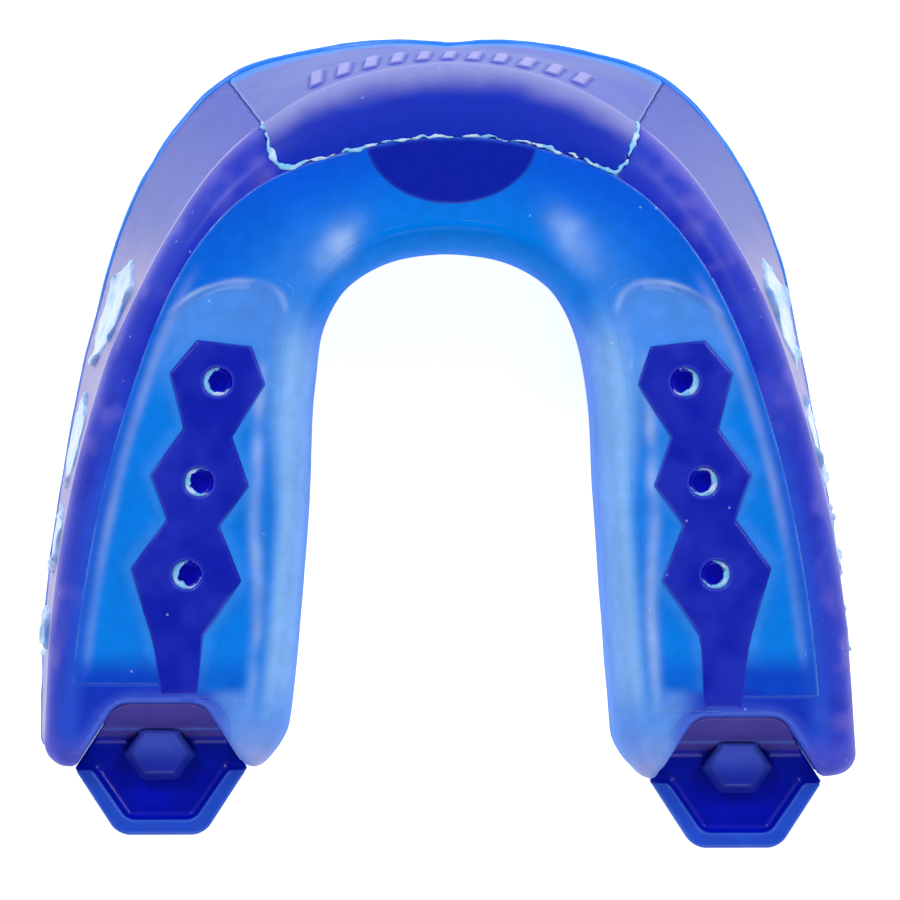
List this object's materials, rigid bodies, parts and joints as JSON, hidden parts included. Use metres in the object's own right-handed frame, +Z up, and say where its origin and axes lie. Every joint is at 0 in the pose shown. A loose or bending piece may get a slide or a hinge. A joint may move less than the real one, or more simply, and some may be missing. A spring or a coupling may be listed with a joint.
{
  "type": "mouthguard",
  "caption": "U-shaped mouthguard for the upper teeth, bite face up: a firm shock frame with a gel-lined tooth channel, bite bars, gel pads, side windows and heel cups.",
  "frame": {"origin": "middle of the outer box at the surface that the gum-side rim rests on", "axes": "+Z up through the bite face, which points away from the gums; +Y towards the front teeth; +X to the right as seen from above with the front at the top; mirrored about X = 0"},
  "size_m": [0.0656, 0.0636, 0.0192],
  "materials": {
    "frame": "semi-gloss, slightly frosted moulded elastomer",
    "front_plate": "semi-gloss, frosted translucent elastomer",
    "front_tongue": "gloss moulded elastomer",
    "gel_liner": "gloss translucent gel",
    "tongue_side_gel": "gloss translucent gel",
    "front_gel": "gloss translucent gel",
    "bite_gel": "gloss translucent gel",
    "bite_bar": "gloss moulded elastomer",
    "heel_cup": "gloss moulded elastomer",
    "heel_stud": "gloss moulded elastomer",
    "window_gel": "gloss translucent gel"
  },
  "bodies": {
    "root": {"shock_frame": "frame", "front_plate": "front_plate", "front_tongue": "front_tongue", "gel_liner": "gel_liner", "tongue_side_wall": "tongue_side_gel", "front_gel_pad": "front_gel", "bite_pad_left": "bite_gel", "bite_pad_right": "bite_gel", "bite_bar_left": "bite_bar", "bite_bar_right": "bite_bar", "heel_cup_left": "heel_cup", "heel_cup_right": "heel_cup", "heel_stud_left": "heel_stud", "heel_stud_right": "heel_stud", "window_plug_left_1": "window_gel", "window_plug_left_2": "window_gel", "window_plug_left_3": "window_gel", "window_plug_left_4": "window_gel", "window_plug_right_1": "window_gel", "window_plug_right_2": "window_gel", "window_plug_right_3": "window_gel", "window_plug_right_4": "window_gel"}
  },
  "joints": []
}
